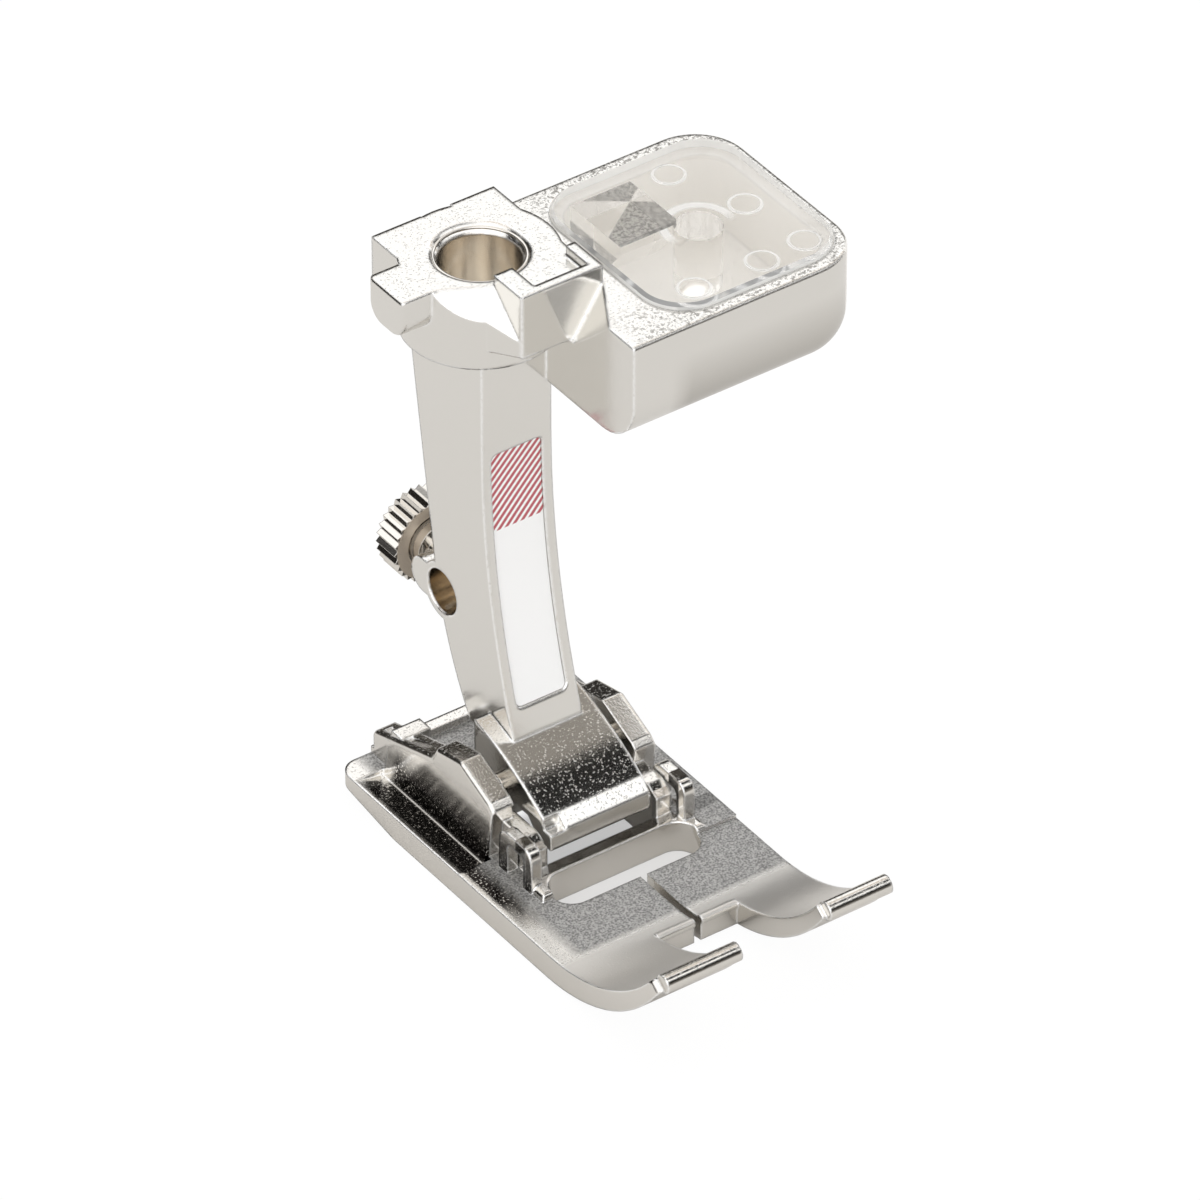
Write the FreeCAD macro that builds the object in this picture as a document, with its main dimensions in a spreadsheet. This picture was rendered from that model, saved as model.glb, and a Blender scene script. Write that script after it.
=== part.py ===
import FreeCAD, Part

import math
import os

import Sketcher

V = FreeCAD.Vector

# Driving dimensions in millimetres (angles in degrees). The frame has +Z up, the toes towards -Y,
# the lens housing at +X, and its origin where the presser bar's axis meets the underside of the sole.
# Distances called "ahead" are measured from the bore's axis towards the toes.
SPRING_TURNS = 4
DIMENSIONS = {
    # sole plate
    "sole_left": 8.6,
    "sole_right": 8.4,
    "plate_thickness": 1.8,
    "heel_behind": 3.3,
    "heel_lift": 0.9,
    "heel_ramp": 6.0,
    "toe_bend_ahead": 19.4,
    "toe_bend_radius": 13.0,
    "toe_run": 10.4,
    "toe_under_ahead": 18.4,
    "toe_under_radius": 13.9,
    "toe_tip_thickness": 0.9,
    "tip_bead_radius": 0.62,
    "tip_bead_outer_inset": 0.45,
    "tip_bead_inner_inset": 0.3,
    "toe_corner_radius": 0.9,
    "heel_corner_radius": 1.2,
    "notch_left": 2.4,
    "notch_right": 3.5,
    "notch_ahead": 21.8,
    "notch_lip_radius": 0.3,
    # needle slot and thread slit
    "slot_left": 5.2,
    "slot_right": 5.5,
    "slot_front_ahead": 16.2,
    "slot_back_ahead": 13.4,
    "rim_width": 1.2,
    "rim_height": 0.45,
    "rim_side": 0.8,
    "rim_ahead": 14.9,
    "rim_corner_radius": 1.5,
    "rim_edge_radius": 0.4,
    "slit_centre": 0.55,
    "slit_width": 0.5,
    "right_step_ahead": 14.9,
    "right_step_height": 0.25,
    "right_step_inner": 5.6,
    # sloping flange at the left of the sole
    "flange_drop": 0.5,
    "flange_back_behind": 1.5,
    "flange_front_ahead": 9.6,
    "cove_width": 0.4,
    "cove_height": 2.6,
    # hinge ears and the rails behind them
    "ear_gap": 9.0,
    "ear_thickness": 1.6,
    "ear_top": 7.1,
    "ear_top_back_ahead": 3.7,
    "ear_top_back_drop": 0.6,
    "ear_top_front_ahead": 6.3,
    "ear_nose_ahead": 9.3,
    "ear_nose_height": 5.8,
    "ear_nose_chamfer": 0.4,
    "ear_edge_radius": 0.3,
    "rail_back_behind": 3.0,
    "rail_back_height": 3.6,
    "rail_front_height": 5.6,
    "rail_front_ahead": 3.2,
    "rail_groove_width": 0.5,
    "rail_groove_depth": 0.12,
    "rear_bump_inner": 3.7,
    "rear_bump_outer": 5.8,
    "rear_bump_front_behind": 0.3,
    "rear_bump_back_behind": 1.5,
    "rear_bump_height": 4.5,
    "crossbar_depth": 0.9,
    "crossbar_height": 0.5,
    "window_front_gap": 0.1,
    "window_back_ahead": 3.4,
    # pillars in front of the ears and the thread hooks on them
    "pillar_inner": 4.05,
    "pillar_width": 1.15,
    "pillar_ahead": 12.6,
    "pillar_height": 4.3,
    "pillar_front_height": 3.7,
    "pillar_slope": 1.0,
    "hook_inner": 5.3,
    "hook_width": 0.8,
    "hook_ahead": 13.8,
    "hook_height": 4.9,
    "hook_bar": 0.85,
    "hook_foot_ahead": 10.4,
    "hook_round": 0.9,
    # hinge
    "pin_ahead": 6.6,
    "pin_height": 4.4,
    "pin_radius": 0.8,
    "pin_clearance": 0.03,
    "pin_blind_wall": 0.5,
    # torsion spring wound round the pin
    "spring_wire_radius": 0.2,
    "spring_coil_radius": 1.15,
    "spring_pitch": 0.37,
    "spring_free_leg": 2.4,
    "spring_free_leg_drop": 0.5,
    "spring_fixed_leg": 1.3,
    "spring_hole_clearance": 0.05,
    "spring_side_clearance": 0.25,
    "spring_round_clearance": 0.3,
    # foot block of the shank
    "block_back_ahead": 4.4,
    "block_top": 8.2,
    "block_front_ahead": 11.6,
    "block_front_height": 5.1,
    "block_curve_radius": 22.0,
    "block_width": 7.4,
    "lip_ahead": 12.45,
    "lip_top": 4.35,
    "lip_bottom": 3.15,
    "lip_thickness": 1.2,
    "lip_notch_width": 1.15,
    "lip_notch_depth": 0.8,
    "hinge_boss_radius": 2.0,
    # stem
    "stem_width": 5.1,
    "stem_front_ahead": 3.75,
    "stem_foot_height": 7.6,
    "stem_front_radius": 61.3,
    "stem_curve_top": 27.0,
    "stem_back_top_behind": 3.4,
    "stem_back_top_height": 29.5,
    "stem_back_bend_behind": 1.4,
    "stem_back_bend_height": 16.3,
    "stem_back_foot_ahead": 2.3,
    "stem_back_foot_height": 6.2,
    "stem_back_radius": 27.0,
    "stem_back_flare": 0.8,
    "stem_into_collar": 1.0,
    "label_width": 3.75,
    "label_bottom": 9.3,
    "label_top": 26.9,
    "label_recess_depth": 0.25,
    "label_corner_radius": 0.45,
    "label_thickness": 0.12,
    "label_margin": 0.06,
    # guide-rod lug and clamp screw
    "guide_hole_behind": 0.6,
    "guide_hole_height": 14.3,
    "guide_hole_radius": 1.55,
    "lug_end_behind": 3.9,
    "lug_height": 2.5,
    "lug_wall": 0.45,
    "screw_thread_radius": 1.0,
    "screw_thread_clearance": 0.03,
    "screw_shoulder_radius": 1.7,
    "screw_recess_radius": 1.9,
    "screw_recess_depth": 0.35,
    "screw_head_behind": 5.15,
    "screw_head_thickness": 2.0,
    "screw_head_radius": 2.95,
    "screw_knurl_depth": 0.28,
    "screw_tip_gap": 0.4,
    # head
    "head_top": 39.1,
    "plate_left": 4.4,
    "plate_right": 4.5,
    "plate_depth": 2.9,
    "collar_radius": 5.0,
    "collar_drop": 5.1,
    "bore_radius": 2.55,
    "bore_depth": 5.0,
    "bore_chamfer_radius": 3.1,
    "bore_chamfer_depth": 0.5,
    "lug_back_behind": 5.0,
    "lug_a_right": 0.85,
    "back_notch_right": 1.3,
    "back_notch_behind": 3.7,
    "wing_left": 6.85,
    "wing_half_length": 1.75,
    "wing_round": 1.3,
    "wing_edge_radius": 0.3,
    "block_left": 1.3,
    "block_right": 4.6,
    "block_back_edge_ahead": 3.3,
    "block_face_ahead": 6.2,
    "fence_height": 0.75,
    "fence_wall": 0.65,
    "fence_left_wall": 1.35,
    "head_block_drop": 3.75,
    "fin_drop": 2.6,
    "fin_ahead": 6.0,
    # lens housing
    "housing_left": 2.2,
    "housing_right": 19.55,
    "housing_front_ahead": 12.75,
    "housing_behind": 3.8,
    "housing_drop": 0.55,
    "housing_height": 7.65,
    "housing_bottom_round": 3.3,
    "housing_top_round": 0.25,
    "housing_corner_radius": 3.5,
    "facet_ahead": 10.3,
    "facet_bottom_width": 0.3,
    "lens_left": 5.6,
    "lens_right": 19.0,
    "lens_front_ahead": 11.75,
    "lens_behind": 2.7,
    "lens_corner_radius": 3.0,
    "lens_proud": 0.4,
    "lens_plate": 1.6,
    "lens_fit_gap": 0.05,
    "lens_edge": 0.2,
    "pocket_depth": 6.4,
    "pocket_ledge": 0.8,
    "prism_left": 7.8,
    "prism_right": 12.2,
    "prism_front_ahead": 3.5,
    "prism_behind": 1.7,
    "prism_depth": 3.2,
    "prism_tip_depth": 0.6,
    "stub_right": 12.9,
    "stub_ahead": 4.4,
    "stub_radius": 1.5,
    "stub_depth": 4.2,
    "mark_radius": 1.0,
    "mark_depth": 0.12,
    # how far a cut runs past the surface it opens: a hair, or clear of everything
    "cut_clear": 0.1,
    "cut_run": 1.0,
}
SCREW_TEETH = 30
# places of the ejector marks under the lens: right of the bore's axis and ahead of it
LENS_MARKS = [(16.5, 4.2), (17.2, 9.3), (13.9, 9.5), (14.5, -0.9), (9.0, 9.4)]

doc = FreeCAD.newDocument("presser_foot")
sheet = doc.addObject("Spreadsheet::Sheet", "Sizes")
for row, (alias, number) in enumerate(DIMENSIONS.items(), start=1):
    sheet.set(f"A{row}", alias)
    sheet.set(f"B{row}", str(number))
    sheet.setAlias(f"B{row}", alias)
doc.recompute()


class Size:
    """A length that knows its value and the sheet formula it comes from."""

    def __init__(self, value, text):
        self.value = float(value)
        self.text = text

    @staticmethod
    def of(thing):
        return thing if isinstance(thing, Size) else Size(thing, repr(float(thing)))

    def __add__(self, other):
        other = Size.of(other)
        return Size(self.value + other.value, f"({self.text} + {other.text})")

    def __sub__(self, other):
        other = Size.of(other)
        return Size(self.value - other.value, f"({self.text} - {other.text})")

    def __mul__(self, other):
        other = Size.of(other)
        return Size(self.value * other.value, f"({self.text} * {other.text})")

    def __truediv__(self, other):
        other = Size.of(other)
        return Size(self.value / other.value, f"({self.text} / {other.text})")

    def __neg__(self):
        return Size(-self.value, f"(-{self.text})")

    def __radd__(self, other):
        return Size.of(other) + self

    def __rsub__(self, other):
        return Size.of(other) - self

    def __rmul__(self, other):
        return Size.of(other) * self


def root(size):
    return Size(math.sqrt(size.value), f"sqrt({size.text})")


S = {alias: Size(sheet.get(alias), f"Sizes.{alias}") for alias in DIMENSIONS}
ZERO = Size.of(0.0)
PLANES = {"XY": "XY_Plane", "XZ": "XZ_Plane", "YZ": "YZ_Plane"}
# A sketch on the XZ plane looks along +Y, so its normal and its offset run towards -Y.


class Bend:
    """The next corner of an outline, reached along an arc; turn is +1 to the left, -1 to the right."""

    def __init__(self, u, v, radius, turn):
        self.u = Size.of(u)
        self.v = Size.of(v)
        self.radius = Size.of(radius)
        self.turn = turn


def new_body(name):
    body = doc.addObject("PartDesign::Body", name)
    body.Label = name
    return body


def new_sketch(body, name, plane, offset):
    sketch = body.newObject("Sketcher::SketchObject", name)
    base = next(o for o in body.Origin.OriginFeatures if o.Role == PLANES[plane])
    sketch.AttachmentSupport = [(base, "")]
    sketch.MapMode = "FlatFace"
    sketch.setExpression("AttachmentOffset.Base.z", Size.of(offset).text)
    return sketch


def bind_point(sketch, geometry, position, u, v):
    for kind, size in (("DistanceX", u), ("DistanceY", v)):
        index = sketch.addConstraint(
            Sketcher.Constraint(kind, -1, 1, geometry, position, size.value)
        )
        sketch.setExpression(f"Constraints[{index}]", size.text)


def draw_outline(sketch, corners):
    """Draws a closed outline of straight runs and arcs, each corner tied to the sheet."""
    steps = [c if isinstance(c, Bend) else Bend(c[0], c[1], 0, 0) for c in corners]
    first, last = steps[0], steps[-1]
    if near(first.u.value, last.u.value) and near(first.v.value, last.v.value):
        # a last arc that ends on the first corner closes the outline
        steps[0] = steps.pop()
    count = len(steps)
    for i in range(count):
        here, there = steps[i], steps[(i + 1) % count]
        a = V(here.u.value, here.v.value, 0)
        b = V(there.u.value, there.v.value, 0)
        if there.turn == 0:
            sketch.addGeometry(Part.LineSegment(a, b), False)
            continue
        chord = b - a
        left = V(-chord.y, chord.x, 0).normalize() * there.turn
        radius = there.radius.value
        sagitta_side = math.sqrt(max(radius * radius - (chord.Length / 2) ** 2, 0))
        centre = (a + b) * 0.5 + left * sagitta_side
        middle = centre - left * radius
        sketch.addGeometry(Part.Arc(a, middle, b), False)
    starts = []
    for i in range(count):
        # an arc that turns right is stored the other way round, so its ends swap
        swapped = steps[(i + 1) % count].turn < 0
        starts.append((i, 2 if swapped else 1, 1 if swapped else 2))
    for i in range(count):
        _, _, end = starts[i]
        nxt, begin, _ = starts[(i + 1) % count]
        sketch.addConstraint(Sketcher.Constraint("Coincident", i, end, nxt, begin))
    for i in range(count):
        bind_point(sketch, i, starts[i][1], steps[i].u, steps[i].v)
    for i in range(count):
        radius = steps[(i + 1) % count].radius
        if steps[(i + 1) % count].turn != 0:
            index = sketch.addConstraint(Sketcher.Constraint("Radius", i, radius.value))
            sketch.setExpression(f"Constraints[{index}]", radius.text)


def draw_circle(sketch, u, v, radius):
    u, v, radius = Size.of(u), Size.of(v), Size.of(radius)
    circle = Part.Circle(V(u.value, v.value, 0), V(0, 0, 1), radius.value)
    geometry = sketch.addGeometry(circle, False)
    bind_point(sketch, geometry, 3, u, v)
    index = sketch.addConstraint(Sketcher.Constraint("Radius", geometry, radius.value))
    sketch.setExpression(f"Constraints[{index}]", radius.text)


def extrude(body, name, sketch, length, cut):
    """Adds or removes a prism from the sketch plane along its normal, and checks that it did."""
    before = body.Shape.Volume if body.Tip else 0.0
    kind = "PartDesign::Pocket" if cut else "PartDesign::Pad"
    feature = body.newObject(kind, name)
    feature.Profile = sketch
    feature.setExpression("Length", Size.of(length).text)
    feature.Reversed = bool(cut)
    sketch.Visibility = False
    doc.recompute()
    after = body.Shape.Volume
    if (cut and after >= before - 1e-6) or (not cut and after <= before + 1e-6):
        raise RuntimeError(f"{name} changed nothing: {before:.4f} to {after:.4f}")
    return feature


def prism(body, name, plane, start, length, corners, cut=False):
    sketch = new_sketch(body, name + "_sketch", plane, start)
    draw_outline(sketch, corners)
    return extrude(body, name, sketch, length, cut)


def loft(body, name, sections, cut):
    """Adds or removes a straight-sided loft through level sections, each given with its height."""
    sketches = []
    for number, (height, corners) in enumerate(sections, start=1):
        sketch = new_sketch(body, f"{name}_level_{number}", "XY", height)
        draw_outline(sketch, corners)
        sketch.Visibility = False
        sketches.append(sketch)
    before = body.Shape.Volume
    feature = body.newObject("PartDesign::SubtractiveLoft" if cut else "PartDesign::AdditiveLoft", name)
    feature.Profile = sketches[0]
    feature.Sections = sketches[1:]
    feature.Ruled = True
    doc.recompute()
    if near(body.Shape.Volume, before, 1e-6):
        raise RuntimeError(f"{name} changed nothing")
    return feature


def box(body, name, x0, x1, y0, y1, z0, z1, cut=False):
    corners = [(x0, y0), (x1, y0), (x1, y1), (x0, y1)]
    return prism(body, name, "XY", z0, Size.of(z1) - z0, corners, cut)


def disc(body, name, plane, start, length, u, v, radius, cut=False):
    sketch = new_sketch(body, name + "_sketch", plane, start)
    draw_circle(sketch, u, v, radius)
    return extrude(body, name, sketch, length, cut)


def dress_edges(body, name, kind, sizes, base, wanted, **options):
    """Rounds or bevels the edges of the base feature that the test picks."""
    names = [f"Edge{i}" for i, e in enumerate(base.Shape.Edges, start=1) if wanted(e)]
    if not names:
        raise RuntimeError(f"{name} found no edge")
    feature = body.newObject(kind, name)
    feature.Base = (base, names)
    for option, value in options.items():
        setattr(feature, option, value)
    for size_name, size in sizes.items():
        feature.setExpression(size_name, Size.of(size).text)
    doc.recompute()
    if "Invalid" in feature.State:
        raise RuntimeError(f"{name} could not be made")
    return feature


def round_edges(body, name, base, radius, wanted):
    return dress_edges(body, name, "PartDesign::Fillet", {"Radius": radius}, base, wanted)


def bevel_edges(body, name, base, across, down, wanted):
    return dress_edges(body, name, "PartDesign::Chamfer", {"Size": across, "Size2": down}, base, wanted,
                       ChamferType="Two distances")


def along(edge, axis):
    """True for a straight edge that runs along the given axis letter."""
    if edge.Curve.TypeId != "Part::GeomLine":
        return False
    start, end = edge.Vertexes[0].Point, edge.Vertexes[-1].Point
    run = {"x": end.x - start.x, "y": end.y - start.y, "z": end.z - start.z}
    others = [abs(value) for key, value in run.items() if key != axis]
    return abs(run[axis]) > 1e-6 and max(others) < 1e-6


def near(a, b, tolerance=1e-4):
    return abs(a - b) < tolerance


def middle_of(edge):
    return edge.valueAt((edge.FirstParameter + edge.LastParameter) / 2)


def on_side(edge, x):
    """True for an edge that lies in the plane at this x."""
    return edge.BoundBox.XLength < 1e-3 and near(edge.BoundBox.Center.x, x, 1e-3)


def ends_of(edge):
    return edge.Vertexes[0].Point, edge.Vertexes[-1].Point


# Sole: one casting with plate, ears, crossbar, slot, toes and thread hooks
def build_sole():
    body = new_body("sole")
    top = S["plate_thickness"]
    left, right = -S["sole_left"], S["sole_right"]
    width = S["sole_left"] + S["sole_right"]
    toe_y = -S["toe_bend_ahead"] - S["toe_run"]
    toe_angle = math.asin(S["toe_run"].value / S["toe_bend_radius"].value)
    # the tip's top and bottom corners lie square to the bend
    tip_z = Size(
        S["plate_thickness"].value + S["toe_bend_radius"].value * (1 - math.cos(toe_angle)),
        "(Sizes.plate_thickness + Sizes.toe_bend_radius * (1 - sqrt(1 - "
        "(Sizes.toe_run / Sizes.toe_bend_radius) ^ 2)))",
    )
    tip_under_y = toe_y - S["toe_tip_thickness"] * S["toe_run"] / S["toe_bend_radius"]
    tip_under_z = tip_z - S["toe_tip_thickness"] * (1 - S["toe_run"] / S["toe_bend_radius"] / 2)
    side = [
        (S["heel_behind"], S["heel_lift"]),
        (S["heel_behind"], top),
        (-S["toe_bend_ahead"], top),
        Bend(toe_y, tip_z, S["toe_bend_radius"], -1),
        (tip_under_y, tip_under_z),
        Bend(-S["toe_under_ahead"], ZERO, S["toe_under_radius"], 1),
        (S["heel_behind"] - S["heel_ramp"], ZERO),
    ]
    plate = prism(body, "plate", "YZ", left, width, side)
    sides = (left.value, right.value)

    def at_toe_corner(edge):
        start, end = ends_of(edge)
        tip = max(start.y, end.y) < toe_y.value + 0.01
        return tip and any(on_side(edge, x) for x in sides) and start.distanceToPoint(end) < top.value

    def at_heel_corner(edge):
        return along(edge, "z") and near(middle_of(edge).y, S["heel_behind"].value)

    toe_corners = round_edges(body, "toe_corners", plate, S["toe_corner_radius"], at_toe_corner)
    round_edges(body, "heel_corners", toe_corners, S["heel_corner_radius"], at_heel_corner)

    # notch between the toes
    above = S["ear_top"] + S["cut_run"]
    box(body, "toe_notch", -S["notch_left"], S["notch_right"], toe_y - S["cut_run"], -S["notch_ahead"],
        -S["cut_run"], above, cut=True)
    disc(body, "notch_lip", "YZ", -S["notch_left"], S["notch_left"] + S["notch_right"],
         -S["notch_ahead"] + S["notch_lip_radius"] * 0.5, top, S["notch_lip_radius"])

    # rounded bead along each toe's tip
    bead_y = (toe_y + tip_under_y) / 2 - S["tip_bead_radius"] * 0.2
    bead_z = (tip_z + tip_under_z) / 2
    inner, outer = S["tip_bead_inner_inset"], S["tip_bead_outer_inset"]
    disc(body, "left_bead", "YZ", left + outer, -S["notch_left"] - left - outer - inner,
         bead_y, bead_z, S["tip_bead_radius"])
    disc(body, "right_bead", "YZ", S["notch_right"] + inner, right - S["notch_right"] - inner,
         bead_y, bead_z, S["tip_bead_radius"])

    # rounded rim behind the needle slot and round its ends
    rim_left, rim_right = -S["slot_left"] - S["rim_side"], S["slot_right"] + S["rim_side"]
    rim_back, rim_corner = -S["slot_back_ahead"] + S["rim_width"], S["rim_corner_radius"]
    rim = prism(body, "slot_rim", "XY", top / 2, top / 2 + S["rim_height"], [
        (rim_left, -S["rim_ahead"]),
        (rim_right, -S["rim_ahead"]),
        (rim_right, rim_back - rim_corner),
        Bend(rim_right - rim_corner, rim_back, rim_corner, 1),
        (rim_left + rim_corner, rim_back),
        Bend(rim_left, rim_back - rim_corner, rim_corner, 1),
    ])

    def at_rim_edge(edge):
        ends = ends_of(edge)
        level = all(near(end.z, (top + S["rim_height"]).value) for end in ends)
        return level and all(-S["rim_ahead"].value - 0.01 < end.y < rim_back.value + 0.01 for end in ends)

    round_edges(body, "slot_rim_edges", rim, S["rim_edge_radius"], at_rim_edge)

    # the plate slopes down at its left to the foot of the wall, and steps up at its right
    wall_foot = -S["ear_gap"] / 2 - S["ear_thickness"]
    prism(body, "flange_slope", "XZ", -S["flange_back_behind"],
          S["flange_back_behind"] + S["flange_front_ahead"], [
              (left, top),
              (wall_foot, top - S["flange_drop"]),
              (wall_foot, top + S["cut_run"]),
              (left, top + S["cut_run"]),
          ], cut=True)
    box(body, "right_step", S["right_step_inner"], right, -S["right_step_ahead"], S["heel_behind"],
        top / 2, top + S["right_step_height"])

    # side walls: a rail that rises to the hinge ear
    def side_wall(name, start):
        outline = [
            (S["rail_back_behind"], top / 2),
            (S["rail_back_behind"], S["rail_back_height"]),
            (-S["rail_front_ahead"], S["rail_front_height"]),
            (-S["ear_top_back_ahead"], S["ear_top"] - S["ear_top_back_drop"]),
            (-S["ear_top_front_ahead"], S["ear_top"]),
            (-S["ear_nose_ahead"], S["ear_nose_height"]),
            (-S["ear_nose_ahead"] - S["ear_nose_chamfer"], S["ear_nose_height"] - S["ear_nose_chamfer"]),
            (-S["ear_nose_ahead"], top),
            (-S["ear_nose_ahead"], top / 2),
        ]
        return prism(body, name, "YZ", start, S["ear_thickness"], outline)

    side_wall("left_wall", wall_foot)
    walls = side_wall("right_wall", S["ear_gap"] / 2)

    def at_ear_edge(edge):
        start, end = ends_of(edge)
        outer = any(on_side(edge, x) for x in (wall_foot.value, -wall_foot.value))
        return outer and min(start.z, end.z) > S["rail_back_height"].value - 0.01

    round_edges(body, "ear_edges", walls, S["ear_edge_radius"], at_ear_edge)

    # cove where the left wall rises from the plate
    crease = top - S["flange_drop"]
    cove_radius = (S["cove_width"] * S["cove_width"] + S["cove_height"] * S["cove_height"]) / (
        S["cove_width"] * 2)
    prism(body, "left_cove", "XZ", -S["flange_back_behind"],
          S["flange_back_behind"] + S["ear_nose_ahead"], [
              (wall_foot - S["cove_width"], crease),
              (wall_foot, top / 2),
              (wall_foot, crease + S["cove_height"]),
              Bend(wall_foot - S["cove_width"], crease, cove_radius, -1),
          ])

    # shallow groove along the left rail's sloping top, and a bump inside its rear end
    rail_middle = wall_foot + S["ear_thickness"] / 2
    rail_back, rail_front = S["rail_back_behind"] - S["rail_groove_width"], -S["rail_front_ahead"]
    groove = S["rail_groove_depth"]
    prism(body, "rail_groove", "YZ", rail_middle - S["rail_groove_width"] / 2, S["rail_groove_width"], [
        (rail_back, S["rail_back_height"] - groove),
        (rail_front + S["rail_groove_width"], S["rail_front_height"] - groove),
        (rail_front + S["rail_groove_width"], S["rail_front_height"] + S["cut_run"]),
        (rail_back, S["rail_back_height"] + S["cut_run"]),
    ], cut=True)
    box(body, "rear_bump", -S["rear_bump_outer"], -S["rear_bump_inner"], S["rear_bump_front_behind"],
        S["rear_bump_back_behind"], top / 2, S["rear_bump_height"])

    # pillars in front of the ears, with a sloping top
    def pillar(name, start):
        outline = [
            (-S["ear_nose_ahead"] + S["ear_nose_chamfer"], top / 2),
            (-S["ear_nose_ahead"] + S["ear_nose_chamfer"], S["pillar_height"]),
            (-S["pillar_ahead"] + S["pillar_slope"], S["pillar_height"]),
            (-S["pillar_ahead"], S["pillar_front_height"]),
            (-S["pillar_ahead"], top / 2),
        ]
        prism(body, name, "YZ", start, S["pillar_width"], outline)

    pillar("left_pillar", -S["pillar_inner"] - S["pillar_width"])
    pillar("right_pillar", S["pillar_inner"])

    # thread hooks: an arch that stands on the plate beside the pillar
    def arch(back, front, height, rounding):
        return [
            (back, top / 2),
            (back, height - rounding),
            Bend(back - rounding, height, rounding, 1),
            (front + rounding, height),
            Bend(front, height - rounding, rounding, 1),
            (front, top / 2),
        ]

    def hook(name, start):
        back, front, bar = -S["hook_foot_ahead"], -S["hook_ahead"], S["hook_bar"]
        prism(body, name, "YZ", start, S["hook_width"],
              arch(back, front, S["hook_height"], S["hook_round"]))
        opening = arch(back - bar, front + bar, S["hook_height"] - bar, S["hook_round"] / 2)
        opening[0] = (back - bar, top)
        opening[-1] = (front + bar, top)
        prism(body, name + "_opening", "YZ", start - S["cut_clear"],
              S["hook_width"] + S["cut_clear"] * 2, opening, cut=True)

    hook("left_hook", -S["hook_inner"] - S["hook_width"])
    hook("right_hook", S["hook_inner"])

    # crossbar at the heel
    box(body, "crossbar", wall_foot, -wall_foot,
        S["heel_behind"] - S["crossbar_depth"], S["heel_behind"], top / 2, top + S["crossbar_height"])

    # the window under the block, behind the slot's rim
    box(body, "window", -S["pillar_inner"], S["pillar_inner"],
        rim_back + S["window_front_gap"], -S["window_back_ahead"], -S["cut_run"], above, cut=True)

    # needle slot with round ends
    slot_half = (S["slot_front_ahead"] - S["slot_back_ahead"]) / 2
    slot_outline = [
        (-S["slot_left"] + slot_half, -S["slot_front_ahead"]),
        (S["slot_right"] - slot_half, -S["slot_front_ahead"]),
        Bend(S["slot_right"], -S["slot_front_ahead"] + slot_half, slot_half, 1),
        Bend(S["slot_right"] - slot_half, -S["slot_back_ahead"], slot_half, 1),
        (-S["slot_left"] + slot_half, -S["slot_back_ahead"]),
        Bend(-S["slot_left"], -S["slot_back_ahead"] - slot_half, slot_half, 1),
        Bend(-S["slot_left"] + slot_half, -S["slot_front_ahead"], slot_half, 1),
    ]
    through = top + S["cut_run"] * 2
    prism(body, "needle_slot", "XY", -S["cut_run"], through, slot_outline, cut=True)
    box(body, "thread_slit", S["slit_centre"] - S["slit_width"] / 2,
        S["slit_centre"] + S["slit_width"] / 2, -S["notch_ahead"] - S["cut_run"],
        -S["slot_front_ahead"] + S["cut_clear"], -S["cut_run"], top + S["cut_run"], cut=True)

    # hinge bores: blind at the left, through at the right
    pin_y, pin_z = -S["pin_ahead"], S["pin_height"]
    disc(body, "pin_bore", "YZ", wall_foot + S["pin_blind_wall"],
         S["ear_gap"] + S["ear_thickness"] * 2, pin_y, pin_z, S["pin_radius"], cut=True)
    return body


# The stem's concave front as a formula, so that the label's recess and the label can follow it
def stem_front(height, inset):
    """How far along Y the stem's front lies at a height, moved in by the inset."""
    radius = S["stem_front_radius"]
    drop = S["stem_curve_top"] - height
    reach = radius + inset
    return -S["stem_front_ahead"] - radius + root(reach * reach - drop * drop)


def stem_layer(low, high, inner, outer):
    """Side outline of a layer that follows the stem's front between two insets."""
    radius = S["stem_front_radius"]
    return [
        (stem_front(low, outer), low),
        (stem_front(low, inner), low),
        Bend(stem_front(high, inner), high, radius + inner, 1),
        (stem_front(high, outer), high),
        Bend(stem_front(low, outer), low, radius + outer, -1),
    ]


def is_label_corner(edge, width, depth):
    """True for the short edges at the four corners of the recess or of the label."""
    start, end = edge.Vertexes[0].Point, edge.Vertexes[-1].Point
    at_side = near(abs(start.x), width / 2) and near(start.x, end.x)
    return at_side and start.distanceToPoint(end) < depth * 2.5 and near(start.z, end.z, 0.3)


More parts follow.
